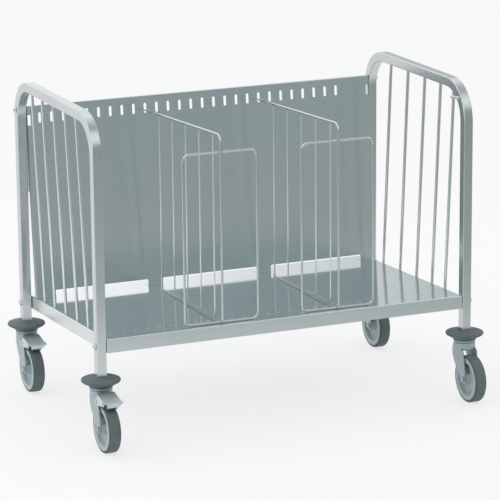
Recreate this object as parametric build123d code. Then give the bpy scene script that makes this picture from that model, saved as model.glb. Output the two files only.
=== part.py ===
from build123d import *
import os
from math import cos, radians, sin, sqrt

# Plate transport trolley: millimetres, +Z up, front towards -Y, floor at Z = 0.
# The origin is on the floor, in the middle of the trolley's outline.

# Wheels and castors
WHEEL_RADIUS = 62.5
WHEEL_WIDTH = 32.0
TRAIL = 38.0
BUMPER_RADIUS = 50.0
HEAD_RADIUS = 28.5
CROWN_UNDERSIDE = 137.0
DRUM_RADIUS = 28.5
DRUM_TOP = 156.0
HEAD_BOTTOM = 156.6
HEAD_TOP = 161.0
KINGPIN_RADIUS = 6.0
KINGPIN_FLANGE_RADIUS = 10.0
KINGPIN_BOTTOM = 131.0
KINGPIN_FLANGE = 5.0
PLUG_WIDTH = 21.4
PLUG_LENGTH = 36.0
FORK_INNER = 18.5
FORK_SHEET = 2.5
FORK_EYE_RADIUS = 11.0
AXLE_RADIUS = 4.0
AXLE_HEX = 13.0
AXLE_HEAD = 5.5
AXLE_TAIL = 2.5
RUNNING_FIT = 0.06
HUB_RADIUS = 13.0
RIM_SEAT_RADIUS = 52.0
RIM_FLANGE_RADIUS = 56.5
RIM_INNER_RADIUS = 43.0
TYRE_GAP = 0.1
TYRE_SHOULDER = 6.0

FORK_SIDE_VIEW = (
    (20.0, 150.0), (-8.0, 150.0), (-33.0, 134.0), (-34.0, 124.0), (-46.5, 68.0), (-46.5, 60.0), (-43.0, 53.5),
    (-36.0, 51.0), (-27.0, 55.0), (-4.0, 77.0), (9.0, 89.5), (18.5, 102.0), (26.0, 116.0), (28.0, 130.0),
    (26.0, 142.0),
)
CROWN_PROFILE = (
    (0.0, CROWN_UNDERSIDE), (27.0, CROWN_UNDERSIDE), (DRUM_RADIUS, 138.5),
    (DRUM_RADIUS, 154.5), (27.0, DRUM_TOP), (0.0, DRUM_TOP),
)

# Brake pedal of the two left castors
PEDAL_REAR_Y = -31.0
PEDAL_REAR_Z = 153.5
PEDAL_REACH = 60.0
PEDAL_SLOPE = 11.9
PEDAL_SHEET = 2.2
CHEEK_INNER = 21.4
CHEEK_OUTER = 23.4
PIVOT_Y = -26.0
PIVOT_Z = 131.0
PIVOT_RADIUS = 3.0
PIVOT_BOSS_RADIUS = 8.0
PIN_HEAD = 2.0
SHOE_HALF_WIDTH = 12.0
SHOE_PIN_Y = -72.0
SHOE_PIN_Z = 136.0
SHOE_PIN_RADIUS = 2.5
SHOE_REAR_Y = -50.0
SHOE_FRONT_Y = -84.0
SHOE_NOSE = 6.0
SHOE_NOSE_LENGTH = 10.0
BRAKE_ANGLE = 8.0
BRAKE_GAP = 0.4
SKIRT_WIDTH = 33.0
SKIRT_DEPTH = 12.0
CHEEK_FRONT_Y = -80.0
PEDAL_PLAN = (
    (-CHEEK_OUTER, 0.0), (CHEEK_OUTER, 0.0), (CHEEK_OUTER, -42.0), (26.0, -PEDAL_REACH), (24.5, -62.0),
    (-16.0, -62.0), (-18.5, -PEDAL_REACH), (-CHEEK_OUTER, -50.0),
)
CHEEK_LOWER_EDGE = (
    (CHEEK_FRONT_Y, 132.0), (-58.0, 127.5), (-27.0, 123.2), (-18.2, 129.0), (-19.0, 135.0), (-25.0, 140.5),
    (PEDAL_REAR_Y, 144.0),
)

# End frames of bent square tube
POST_SPAN_X = 1020.0
POST_SPAN_Y = 574.0
HEIGHT = 848.0
TUBE = 25.0
TUBE_WALL = 1.5
TUBE_CORNER = 2.5
BEND_RADIUS = 92.5
POST_BOTTOM = 188.0
BUMPER_PROFILE = (
    (22.0, POST_BOTTOM), (27.0, 186.0), (47.0, 182.0), (49.2, 181.0), (BUMPER_RADIUS, 179.0),
    (BUMPER_RADIUS, 177.5), (49.0, 175.5), (46.0, 173.5), (33.0, 166.5), (31.5, 165.0), (30.5, 163.5),
    (30.0, HEAD_TOP),
)

# Upright wires of the end frames
SIDE_WIRE = 8.0
SIDE_WIRE_OFFSETS = {
    -1: (187.0, 107.0, 21.0, -66.0, -147.0),
    1: (158.0, 54.0, -46.0, -138.0, -214.0),
}
SIDE_WIRE_FOOT_X = 489.0
SIDE_WIRE_HOLE = 9.0
SIDE_WIRE_TAIL = 8.0
TIE_HEIGHT = 797.5
TIE_OVERHANG = 0.5
TIE_REACH = 64.0
TIE_RISE = 8.5
TIE_LAP = 5.5

# Sloping shelf pan
SHELF_FRONT_Z = 283.0
SHELF_TILT = 2.745
SHELF_WIDTH = 993.0
SHELF_FRONT = -12.5
SHELF_REAR = 585.5
SHELF_LIP = 35.0
SHEET = 1.5
SHELF_BEND = 3.0
PITCH = 33.0
HOLE_ROW = 51.0
HOLE_COUNT_EACH_SIDE = 14
HOLE_DIAMETER = 7.0

# Leaning back panel
PANEL_FOOT = 515.9
PANEL_LEAN = 5.14
PANEL_WIDTH = 992.0
PANEL_HEIGHT = 515.0
PANEL_TOP_FLANGE = 15.0
PANEL_SIDE_FLANGE = 18.0
EAR_HEIGHT = 230.0
EAR_DEPTH = 26.0
EAR_BOLT_DROP = 10.0
NOTCH_WIDTH = 9.0
NOTCH_DROP = 5.0
SLOT_FIRST = -14
SLOT_LAST = 12
SLOT_WIDTH = 7.5
SLOT_HEIGHT = 27.5
SLOT_CENTRE = 482.0
FOOT_OPENINGS = ((-452.0, -180.0), (-138.0, 138.0), (180.0, 452.0))
FOOT_OPENING_HEIGHT = 18.5
FOOT_OPENING_CORNER = 4.0
FOOT_TABS = ((-496.0, -452.0), (-180.0, -138.0), (138.0, 180.0), (452.0, 496.0))
FOOT_FLANGE = 24.0
FOOT_BEND = 2.2
FOOT_BOLT_BACK = 13.0

# Removable wire dividers
DIVIDER_STEPS = {"left": -5, "right": 5}
DIVIDER_TURNS = {"left": -1.2, "right": -1.8}
DIVIDER_WIRE = 6.0
DIVIDER_THIN_WIRE = 4.0
DIVIDER_CLEARANCE = 0.3
DIVIDER_FRONT = 6.0
DIVIDER_FRONT_Z = 770.0
DIVIDER_SLOT_Z = 733.0
DIVIDER_TOP_BEND = 19.0
DIVIDER_TOE_GAP = 0.5
HOOK_BACK = 15.0
HOOK_DROP = 14.0
HOOK_BEND = 7.0
UPRIGHT_FIRST = 59.0
UPRIGHT_PITCH = 97.5
UPRIGHT_COUNT = 5
BASE_WIRE = 5.0
BASE_OVERRUN = 5.0
WELD_SINK = 0.3
LOOP_WIDTH = 199.0
LOOP_TOP_Z = 725.5
LOOP_CORNER = 17.0

# Fasteners
FRAME_BOLT_RADIUS = 4.0
FRAME_BOLT_HOLE = 4.3
FRAME_BOLT_HEAD_RADIUS = 8.5
FRAME_BOLT_HEAD = 5.0
FRAME_NUT_HEX = 13.0
FRAME_NUT = 6.5
FRAME_BOLT_TAIL = 2.0
SOCKET_HEX = 5.0
SOCKET_DEPTH = 2.0
FOOT_BOLT_RADIUS = 2.5
FOOT_BOLT_HOLE = 2.75
FOOT_BOLT_HEAD_RADIUS = 4.8
FOOT_BOLT_HEAD = 2.8
FOOT_NUT_HEX = 8.0
FOOT_NUT = 4.0
FOOT_BOLT_TAIL = 1.5
SOCKET_HEX_SMALL = 3.0

# Positions that follow from the driving dimensions
MID_Y = (TRAIL + WHEEL_RADIUS - BUMPER_RADIUS) / 2
FRONT_Y = MID_Y - POST_SPAN_Y / 2
REAR_Y = MID_Y + POST_SPAN_Y / 2
POST_X = POST_SPAN_X / 2
HALF_TUBE = TUBE / 2
SHELF_FRAME = Location((0, FRONT_Y, SHELF_FRONT_Z), (-SHELF_TILT, 0, 0))
FORK_OUTER = FORK_INNER + FORK_SHEET
SIDES = {"left": -1, "right": 1}
CASTORS = {
    "front_left": (-POST_X, FRONT_Y),
    "front_right": (POST_X, FRONT_Y),
    "rear_left": (-POST_X, REAR_Y),
    "rear_right": (POST_X, REAR_Y),
}
BRAKED_CASTORS = ("front_left", "rear_left")
NODES = {}


def shelf_point(x, back, up=0.0):
    """A point given in the tilted shelf's own directions."""
    return (SHELF_FRAME * Pos(x, back, up)).position


PANEL_FRAME = Location(tuple(shelf_point(0, PANEL_FOOT)), (-PANEL_LEAN, 0, 0))


def shelf_height(y):
    """Height of the shelf's upper face at a given Y."""
    return SHELF_FRONT_Z - (y - FRONT_Y) * sin(radians(SHELF_TILT)) / cos(radians(SHELF_TILT))


def rod(start, end, radius):
    """A round bar between two points."""
    start, end = Vector(start), Vector(end)
    direction = end - start
    return Solid.make_cylinder(radius, direction.length, Plane(origin=start, z_dir=direction))


def bent_wire(points, radii, diameter):
    """A round wire along straight runs with a rounded bend at each inner point."""
    path = FilletPolyline(*points, radius=radii)
    start = Plane(origin=path @ 0, z_dir=path % 0)
    return sweep(start * Circle(diameter / 2), path=path)


def hex_prism(across_flats, length):
    """A hexagonal bar that stands on the XY plane."""
    return extrude(RegularPolygon(across_flats / 2, 6, major_radius=False), length)


def along_x(shape, x, y, z, sense=1):
    """Turn a piece built up along Z so that it points along X, and place it."""
    return Pos(x, y, z) * Rot(0, 90 * sense, 0) * shape


def domed_bolt(radius, length, head_radius, head, socket):
    """A button-headed bolt: its head stands on the XY plane and its shank points down."""
    top = Pos(0, 0, head / 2) * Cylinder(head_radius, head)
    top = fillet(top.edges().group_by(Axis.Z)[-1], head * 0.7)
    shank = Pos(0, 0, -length / 2) * Cylinder(radius, length)
    recess = Pos(0, 0, head - SOCKET_DEPTH) * hex_prism(socket, SOCKET_DEPTH)
    return top + shank - recess


def hex_nut(across_flats, height, bore):
    """A chamfered hexagonal nut that stands on the XY plane."""
    corner_cut = Pos(0, 0, height / 2) * Cylinder(across_flats * 0.56, height)
    corner_cut = chamfer(corner_cut.edges().group_by(Axis.Z)[-1], height * 0.12)
    drilled = corner_cut - Pos(0, 0, height / 2) * Cylinder(bore, height)
    return hex_prism(across_flats, height) & drilled


def frame_bolt_places():
    """Side, Y and Z of each bolt through a post: shelf flanges first, then the panel's ears."""
    flange = -SHELF_LIP / 2
    ear = PANEL_FRAME * Pos(0, 0, PANEL_HEIGHT - EAR_BOLT_DROP)
    places = []
    for side in SIDES.values():
        places.append((side, FRONT_Y, shelf_point(0, 0, flange).Z))
        places.append((side, REAR_Y, shelf_point(0, POST_SPAN_Y, flange).Z))
        places.append((side, REAR_Y, ear.position.Z))
    return places


def frame_tube(side, width, corner):
    """The bent bar of one end frame, filled, with a rounded square section."""
    x = side * POST_X
    top = HEIGHT - HALF_TUBE
    corners = [(x, FRONT_Y, POST_BOTTOM), (x, FRONT_Y, top), (x, REAR_Y, top), (x, REAR_Y, POST_BOTTOM)]
    path = FilletPolyline(*corners, radius=BEND_RADIUS)
    start = Plane(origin=corners[0], x_dir=(1, 0, 0), z_dir=(0, 0, 1))
    return sweep(start * RectangleRounded(width, width, corner), path=path)


def end_frame(side):
    """One end frame: an inverted U of square tube, drilled for its bolts."""
    tube = frame_tube(side, TUBE, TUBE_CORNER)
    tube -= frame_tube(side, TUBE - 2 * TUBE_WALL, TUBE_CORNER - TUBE_WALL)
    for bolt_side, y, z in frame_bolt_places():
        if bolt_side == side:
            tube -= along_x(Cylinder(FRAME_BOLT_HOLE, 2 * TUBE), side * POST_X, y, z)
    return tube


def side_wire_line(side, offset):
    """Foot on the shelf and head under the top tube of one side wire."""
    y = MID_Y + offset
    foot = Vector(side * SIDE_WIRE_FOOT_X, y, shelf_height(y))
    head = Vector(side * POST_X, y, HEIGHT - TUBE)
    return foot, head


def side_wires(side):
    """The five upright wires of one end frame, from under the top tube through the shelf's edge."""
    bend = frame_tube(side, TUBE, TUBE_CORNER)
    wires = []
    for offset in SIDE_WIRE_OFFSETS[side]:
        foot, head = side_wire_line(side, offset)
        run = (head - foot).normalized()
        wire = rod(foot - run * SIDE_WIRE_TAIL, head + run * SIDE_WIRE, SIDE_WIRE / 2)
        wire -= Pos(head.X, head.Y, head.Z + TUBE) * Box(2 * TUBE, 2 * TUBE, 2 * TUBE)
        wires.append(wire - bend if head.Y < FRONT_Y + BEND_RADIUS + HALF_TUBE else wire)
    return wires


def corner_tie_wire():
    """Short wire from the right frame's front wire, lapped on to the inner face of the bend beside it."""
    foot, head = side_wire_line(1, SIDE_WIRE_OFFSETS[1][-1])
    share = (TIE_HEIGHT - foot.Z) / (head.Z - foot.Z)
    x = foot.X + (head.X - foot.X) * share - TIE_LAP
    start = (x, foot.Y + TIE_OVERHANG, TIE_HEIGHT)
    end = (POST_X - HALF_TUBE - SIDE_WIRE / 2, foot.Y - TIE_REACH, TIE_HEIGHT + TIE_RISE)
    tie = rod(start, end, SIDE_WIRE / 2) - frame_tube(1, TUBE, TUBE_CORNER)
    return tie - rod(foot, head, SIDE_WIRE / 2)


def shelf():
    """The sloping shelf: a pan of folded sheet, open below, with its rows of holes."""
    depth = SHELF_REAR - SHELF_FRONT
    middle = (SHELF_REAR + SHELF_FRONT) / 2
    outer = Pos(0, middle, -SHELF_LIP / 2) * Box(SHELF_WIDTH, depth, SHELF_LIP)
    outer = fillet(outer.edges().filter_by(Axis.Z), SHELF_BEND)
    outer = fillet(outer.edges().group_by(Axis.Z)[-1], SHELF_BEND)
    inner = Box(SHELF_WIDTH - 2 * SHEET, depth - 2 * SHEET, SHELF_LIP)
    inner = Pos(0, middle, -SHELF_LIP / 2 - SHEET) * inner
    inner = fillet(inner.edges().filter_by(Axis.Z), SHELF_BEND - SHEET)
    inner = fillet(inner.edges().group_by(Axis.Z)[-1], SHELF_BEND - SHEET)
    pan = outer - inner
    drills = []
    for step in range(-HOLE_COUNT_EACH_SIDE, HOLE_COUNT_EACH_SIDE + 1):
        drills.append(Pos(step * PITCH, HOLE_ROW, 0) * Cylinder(HOLE_DIAMETER / 2, 4 * SHEET))
    for low, high in FOOT_TABS:
        bolt_place = Pos((low + high) / 2, PANEL_FOOT + FOOT_BOLT_BACK, 0)
        drills.append(bolt_place * Cylinder(FOOT_BOLT_HOLE, 4 * SHEET))
    pan = SHELF_FRAME * (pan - drills)
    for side in SIDES.values():
        for offset in SIDE_WIRE_OFFSETS[side]:
            foot, head = side_wire_line(side, offset)
            run = (head - foot).normalized() * SIDE_WIRE
            pan -= rod(foot - run, foot + run, SIDE_WIRE_HOLE / 2)
    for side, y, z in frame_bolt_places():
        pan -= along_x(Cylinder(FRAME_BOLT_HOLE, 2 * TUBE), side * POST_X, y, z)
    return pan


def foot_opening(low, high):
    """Cutter for one low opening in the panel's foot, with rounded upper corners."""
    tall = 2 * FOOT_OPENING_HEIGHT
    cutter = Pos((low + high) / 2, 0, 0) * Box(high - low, 4 * FOOT_FLANGE, tall)
    upper = cutter.edges().filter_by(Axis.Y).group_by(Axis.Z)[-1]
    return fillet(upper, FOOT_OPENING_CORNER)


def back_panel():
    """The leaning back panel: slotted sheet, folded top and sides, two bolting ears and four bent feet."""
    half = PANEL_WIDTH / 2
    panel = Pos(0, SHEET / 2, PANEL_HEIGHT / 2 - SHEET) * Box(PANEL_WIDTH, SHEET, PANEL_HEIGHT + 2 * SHEET)
    top_flange = Box(PANEL_WIDTH, PANEL_TOP_FLANGE, SHEET)
    panel += Pos(0, PANEL_TOP_FLANGE / 2, PANEL_HEIGHT - SHEET / 2) * top_flange
    front_edges = panel.edges().filter_by(Axis.X).filter_by_position(Axis.Y, -0.1, 0.1)
    panel = fillet(front_edges.group_by(Axis.Z)[-1], SHEET * 0.8)
    for side in SIDES.values():
        ear_x = side * (half - SHEET / 2)
        side_flange = Box(SHEET, PANEL_SIDE_FLANGE, PANEL_HEIGHT)
        panel += Pos(ear_x, PANEL_SIDE_FLANGE / 2, PANEL_HEIGHT / 2) * side_flange
        panel += Pos(ear_x, EAR_DEPTH / 2, PANEL_HEIGHT - EAR_HEIGHT / 2) * Box(SHEET, EAR_DEPTH, EAR_HEIGHT)
        notch = Pos(side * half, 0, SLOT_CENTRE - NOTCH_DROP) * Box(2 * NOTCH_WIDTH, 4 * SHEET, SLOT_HEIGHT)
        panel -= notch
    slot = extrude(Plane.XZ * SlotOverall(SLOT_HEIGHT, SLOT_WIDTH, rotation=90), 4 * SHEET, both=True)
    panel -= [Pos(step * PITCH, 0, SLOT_CENTRE) * slot for step in range(SLOT_FIRST, SLOT_LAST + 1)]
    panel -= [foot_opening(low, high) for low, high in FOOT_OPENINGS]
    panel = PANEL_FRAME * panel
    panel -= SHELF_FRAME * Pos(0, PANEL_FOOT, -TUBE) * Box(2 * PANEL_WIDTH, 4 * TUBE, 2 * TUBE)
    foot_length = FOOT_FLANGE - SHEET / 2
    for low, high in FOOT_TABS:
        middle = (low + high) / 2
        foot = Box(high - low, foot_length, SHEET)
        foot = Pos(middle, PANEL_FOOT + FOOT_FLANGE - foot_length / 2, SHEET / 2) * foot
        drill = Pos(middle, PANEL_FOOT + FOOT_BOLT_BACK, 0) * Cylinder(FOOT_BOLT_HOLE, 4 * SHEET)
        panel += SHELF_FRAME * (foot - drill)
    crease = shelf_point(0, PANEL_FOOT)
    near = FOOT_BEND / 9
    bends = panel.edges().filter_by(Axis.X).filter_by_position(Axis.Z, crease.Z - near, crease.Z + near)
    panel = fillet(bends.group_by(Axis.Y)[0], FOOT_BEND)
    for side, y, z in frame_bolt_places():
        panel -= along_x(Cylinder(FRAME_BOLT_HOLE, 2 * TUBE), side * POST_X, y, z)
    return panel


def frame_bolts():
    """Six bolts through the posts, and the nuts inside the shelf's flanges and the panel's ears."""
    grip = POST_X + HALF_TUBE - (SHELF_WIDTH / 2 - SHEET)
    ear_grip = POST_X + HALF_TUBE - (PANEL_WIDTH / 2 - SHEET)
    bolts, nuts = [], []
    for side, y, z in frame_bolt_places():
        length = (ear_grip if z > HEIGHT / 2 else grip) + FRAME_NUT + FRAME_BOLT_TAIL
        face = side * (POST_X + HALF_TUBE)
        bolt = domed_bolt(FRAME_BOLT_RADIUS, length, FRAME_BOLT_HEAD_RADIUS, FRAME_BOLT_HEAD, SOCKET_HEX)
        bolts.append(along_x(bolt, face, y, z, side))
        seat = face - side * (length - FRAME_NUT - FRAME_BOLT_TAIL)
        nut = hex_nut(FRAME_NUT_HEX, FRAME_NUT, FRAME_BOLT_RADIUS)
        nuts.append(along_x(nut, seat, y, z, -side))
    return bolts, nuts


def foot_bolts():
    """Four small bolts that hold the panel's feet to the shelf, and their nuts under the sheet."""
    length = 2 * SHEET + FOOT_NUT + FOOT_BOLT_TAIL
    bolts, nuts = [], []
    for low, high in FOOT_TABS:
        place = SHELF_FRAME * Pos((low + high) / 2, PANEL_FOOT + FOOT_BOLT_BACK, 0)
        bolt = domed_bolt(FOOT_BOLT_RADIUS, length, FOOT_BOLT_HEAD_RADIUS, FOOT_BOLT_HEAD, SOCKET_HEX_SMALL)
        bolts.append(place * Pos(0, 0, SHEET) * bolt)
        nut = hex_nut(FOOT_NUT_HEX, FOOT_NUT, FOOT_BOLT_RADIUS)
        nuts.append(place * Pos(0, 0, -SHEET) * Rot(180, 0, 0) * nut)
    return bolts, nuts


def divider(x, turn):
    """One removable divider: bent frame wire, thin uprights, base wire and front loop."""
    front = FRONT_Y + DIVIDER_FRONT
    slot_y = (PANEL_FRAME * Pos(0, 0, SLOT_CENTRE)).position.Y
    slope = (DIVIDER_FRONT_Z - DIVIDER_SLOT_Z) / (slot_y - front)
    hook_y = slot_y + HOOK_BACK
    hook_z = DIVIDER_SLOT_Z - slope * HOOK_BACK
    corners = [
        (x, hook_y, hook_z - HOOK_DROP),
        (x, hook_y, hook_z),
        (x, front, DIVIDER_FRONT_Z),
        (x, front, shelf_height(front) + DIVIDER_TOE_GAP),
    ]
    frame = bent_wire(corners, [HOOK_BEND, DIVIDER_TOP_BEND], DIVIDER_WIRE)
    loop_y = front + DIVIDER_WIRE
    low = shelf_height(loop_y) + DIVIDER_CLEARANCE + DIVIDER_WIRE / 2
    reach = LOOP_WIDTH / 2
    half = [
        (x, loop_y, LOOP_TOP_Z), (x + reach, loop_y, LOOP_TOP_Z), (x + reach, loop_y, low), (x, loop_y, low),
    ]
    right_half = bent_wire(half, [LOOP_CORNER, LOOP_CORNER], DIVIDER_WIRE)
    loop = right_half + mirror(right_half, Plane.YZ.offset(x))
    upright_ys = [FRONT_Y + UPRIGHT_FIRST + UPRIGHT_PITCH * step for step in range(UPRIGHT_COUNT)]
    base_rear = upright_ys[-1] + BASE_OVERRUN
    base_start = Vector(x, loop_y - BASE_WIRE / 2, low + (DIVIDER_WIRE + BASE_WIRE) / 2 - WELD_SINK)
    base_end = Vector(x, base_rear, shelf_height(base_rear) + DIVIDER_CLEARANCE + BASE_WIRE / 2)
    base = rod(base_start, base_end, BASE_WIRE / 2) - loop
    uprights = []
    for y in upright_ys:
        foot = base_start + (base_end - base_start) * ((y - base_start.Y) / (base_end.Y - base_start.Y))
        head = Vector(x, y, DIVIDER_SLOT_Z + slope * (slot_y - y))
        uprights.append(rod(foot, head, DIVIDER_THIN_WIRE / 2) - frame - base)
    turned = Pos(x, slot_y, 0) * Rot(0, 0, turn) * Pos(-x, -slot_y, 0)
    return turned * frame, [turned * upright for upright in uprights], turned * base, turned * loop


def bumper():
    """Round bumper between post and castor: a lens-shaped disc with a stepped collar below."""
    bore = KINGPIN_RADIUS + TYRE_GAP
    outline = [(bore, POST_BOTTOM), *BUMPER_PROFILE, (bore, HEAD_TOP)]
    return revolve(Plane.XZ * make_face(Polyline(*outline, close=True)), Axis.Z)


def stem():
    """Square plug that fills the post's end, and the kingpin that carries the fork below it."""
    plug = Pos(0, 0, POST_BOTTOM + PLUG_LENGTH / 2) * Box(PLUG_WIDTH, PLUG_WIDTH, PLUG_LENGTH)
    plug = fillet(plug.edges().filter_by(Axis.Z), 1.0)
    length = POST_BOTTOM - KINGPIN_BOTTOM
    pin = Pos(0, 0, KINGPIN_BOTTOM + length / 2) * Cylinder(KINGPIN_RADIUS, length)
    flange = Pos(0, 0, KINGPIN_BOTTOM + KINGPIN_FLANGE / 2) * Cylinder(KINGPIN_FLANGE_RADIUS, KINGPIN_FLANGE)
    return plug + pin + flange


def swivel_head():
    """Fixed upper cup of the swivel bearing."""
    tall = HEAD_TOP - HEAD_BOTTOM
    cup = Pos(0, 0, HEAD_BOTTOM + tall / 2) * Cylinder(HEAD_RADIUS, tall)
    cup = fillet(cup.edges().group_by(Axis.Z)[0], 1.0)
    return cup - Pos(0, 0, HEAD_TOP) * Cylinder(KINGPIN_RADIUS + TYRE_GAP, 4 * tall)


def fork(braked):
    """Pressed fork: round crown under the bearing, sloping shoulders and two legs swept to the axle."""
    profile = make_face(Polyline(*FORK_SIDE_VIEW, close=True))
    profile += Pos(-TRAIL, WHEEL_RADIUS) * Circle(FORK_EYE_RADIUS)
    body = extrude(Plane.YZ * profile, FORK_OUTER, both=True)
    body -= Box(2 * FORK_INNER, 6 * TRAIL, 4 * DRUM_TOP)
    body += revolve(Plane.XZ * make_face(Polyline(*CROWN_PROFILE, close=True)), Axis.Z)
    body -= Pos(0, 0, DRUM_TOP) * Cylinder(KINGPIN_RADIUS + RUNNING_FIT, 2 * TRAIL)
    body -= along_x(Cylinder(AXLE_RADIUS + TYRE_GAP, 4 * FORK_OUTER), 0, -TRAIL, WHEEL_RADIUS)
    if braked:
        body -= along_x(Cylinder(PIVOT_RADIUS + TYRE_GAP, 4 * FORK_OUTER), 0, PIVOT_Y, PIVOT_Z)
    return body


def axle():
    """Axle bolt with its hexagonal head on the left leg, and the nut on the right leg."""
    length = 2 * FORK_OUTER + AXLE_HEAD + AXLE_TAIL
    head = hex_nut(AXLE_HEX, AXLE_HEAD, AXLE_RADIUS - 1.0)
    head += Pos(0, 0, AXLE_HEAD / 2) * Cylinder(AXLE_RADIUS, AXLE_HEAD)
    shank = Pos(0, 0, -length / 2) * Cylinder(AXLE_RADIUS, length)
    bolt = along_x(head + shank, -FORK_OUTER, -TRAIL, WHEEL_RADIUS, -1)
    nut = along_x(hex_nut(AXLE_HEX, AXLE_HEAD, AXLE_RADIUS), FORK_OUTER, -TRAIL, WHEEL_RADIUS)
    return bolt, nut


def wheel_part(half_outline):
    """Revolve a (radius, axial) half outline, mirrored about the wheel's middle plane."""
    outline = half_outline + [(radius, -axial) for radius, axial in reversed(half_outline)]
    turned = revolve(Plane.XZ * make_face(Polyline(*outline, close=True)), Axis.Z)
    return along_x(turned, 0, -TRAIL, WHEEL_RADIUS)


def rim():
    """Wheel centre: hub barrel, dished web and a flanged ring for the tyre."""
    flange_axial = WHEEL_WIDTH / 2 - 0.5
    seat_axial = flange_axial - 3.0
    half_outline = [
        (AXLE_RADIUS + RUNNING_FIT, 17.5), (HUB_RADIUS - 1.0, 17.5), (HUB_RADIUS, 16.5),
        (HUB_RADIUS + 0.8, 7.5), (HUB_RADIUS + 4.0, 4.5), (RIM_INNER_RADIUS - 5.0, 3.0),
        (RIM_INNER_RADIUS - 1.0, 5.0), (RIM_INNER_RADIUS + 1.0, flange_axial - 0.8),
        (RIM_INNER_RADIUS + 1.8, flange_axial), (RIM_FLANGE_RADIUS - 0.8, flange_axial),
        (RIM_FLANGE_RADIUS, flange_axial - 0.8), (RIM_FLANGE_RADIUS, seat_axial),
        (RIM_SEAT_RADIUS, seat_axial),
    ]
    return wheel_part(half_outline)


def tyre():
    """Rubber tyre: a base between the rim's flanges and a round-shouldered tread over them."""
    seat_axial = WHEEL_WIDTH / 2 - 3.5 - TYRE_GAP
    side = WHEEL_WIDTH / 2
    base, over = RIM_SEAT_RADIUS + TYRE_GAP, RIM_FLANGE_RADIUS + TYRE_GAP
    shoulder = []
    for step in range(7):
        turn = radians(15.0 * step)
        radial = WHEEL_RADIUS - TYRE_SHOULDER * (1 - sin(turn))
        shoulder.append((radial, side - TYRE_SHOULDER * (1 - cos(turn))))
    return wheel_part([(base, seat_axial), (over, seat_axial), (over, side - 0.1)] + shoulder[1:])


def pedal_roof_height(y, below=0.0):
    """Height of the pedal's sloping roof at a given Y, less a drop."""
    return PEDAL_REAR_Z - (PEDAL_REAR_Y - y) * sin(radians(PEDAL_SLOPE)) / cos(radians(PEDAL_SLOPE)) - below


def pedal():
    """Folded brake pedal: sloping roof with a toe corner, front skirt and two cheeks on the pivot."""
    roof_frame = Location((0, PEDAL_REAR_Y, PEDAL_REAR_Z), (PEDAL_SLOPE, 0, 0))
    roof = extrude(make_face(Polyline(*PEDAL_PLAN, close=True)), -PEDAL_SHEET)
    skirt = Box(SKIRT_WIDTH, PEDAL_SHEET, SKIRT_DEPTH)
    skirt = Pos(0, PEDAL_SHEET / 2 - PEDAL_REACH, -SKIRT_DEPTH / 2) * skirt
    body = roof_frame * (roof + skirt)
    under_roof = PEDAL_SHEET / 2
    upper_edge = [
        (PEDAL_REAR_Y, PEDAL_REAR_Z - under_roof),
        (CHEEK_FRONT_Y, pedal_roof_height(CHEEK_FRONT_Y, under_roof)),
    ]
    cheek = make_face(Polyline(*upper_edge, *CHEEK_LOWER_EDGE, close=True))
    cheek += Pos(PIVOT_Y, PIVOT_Z) * Circle(PIVOT_BOSS_RADIUS)
    for side in SIDES.values():
        plane = Plane.YZ.offset(side * (CHEEK_INNER + CHEEK_OUTER) / 2)
        body += extrude(plane * cheek, (CHEEK_OUTER - CHEEK_INNER) / 2, both=True)
    body -= along_x(Cylinder(PIVOT_RADIUS + RUNNING_FIT, 4 * FORK_OUTER), 0, PIVOT_Y, PIVOT_Z)
    body -= along_x(Cylinder(SHOE_PIN_RADIUS + TYRE_GAP, 4 * FORK_OUTER), 0, SHOE_PIN_Y, SHOE_PIN_Z)
    return body


def headed_pin(radius, head_radius, y, z):
    """A cross pin through both cheeks with a flat head at each end."""
    pin = Cylinder(radius, 2 * (CHEEK_OUTER + TYRE_GAP))
    for side in SIDES.values():
        head = Cylinder(head_radius, PIN_HEAD)
        pin += Pos(0, 0, side * (CHEEK_OUTER + TYRE_GAP + PIN_HEAD / 2)) * head
    return along_x(pin, 0, y, z)


def shoe_underside(y):
    """Height of the shoe's flat underside, which just clears the tyre when the pedal is down."""
    to_axle = Vector(0, -TRAIL - PIVOT_Y, WHEEL_RADIUS - PIVOT_Z).rotate(Axis.X, -BRAKE_ANGLE)
    axle_y, axle_z = PIVOT_Y + to_axle.Y, PIVOT_Z + to_axle.Z
    reach = WHEEL_RADIUS + BRAKE_GAP
    middle = (SHOE_REAR_Y + SHOE_FRONT_Y) / 2 - axle_y
    touch = sqrt(reach**2 - middle**2)
    return axle_z + (reach**2 - (y - axle_y) * middle) / touch


def brake_shoe():
    """Rubber block on a cross pin under the pedal's roof."""
    drop = PEDAL_SHEET + 2 * TYRE_GAP
    nose = SHOE_FRONT_Y + SHOE_NOSE_LENGTH
    view = [
        (SHOE_REAR_Y, pedal_roof_height(SHOE_REAR_Y, drop)),
        (SHOE_FRONT_Y, pedal_roof_height(SHOE_FRONT_Y, drop)),
        (SHOE_FRONT_Y, shoe_underside(SHOE_FRONT_Y) + SHOE_NOSE), (nose, shoe_underside(nose)),
        (SHOE_REAR_Y, shoe_underside(SHOE_REAR_Y)),
    ]
    block = extrude(Plane.YZ * make_face(Polyline(*view, close=True)), SHOE_HALF_WIDTH, both=True)
    return block - along_x(Cylinder(SHOE_PIN_RADIUS + TYRE_GAP, 4 * FORK_OUTER), 0, SHOE_PIN_Y, SHOE_PIN_Z)


# Frame, shelf and panel
for side_name, side_sign in SIDES.items():
    NODES[f"{side_name}_end_frame"] = end_frame(side_sign)
    NODES[f"{side_name}_side_wires"] = side_wires(side_sign)
NODES["corner_tie_wire"] = corner_tie_wire()
NODES["shelf"] = shelf()
NODES["back_panel"] = back_panel()
NODES["frame_bolts"], NODES["frame_nuts"] = frame_bolts()
NODES["panel_foot_bolts"], NODES["panel_foot_nuts"] = foot_bolts()

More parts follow.
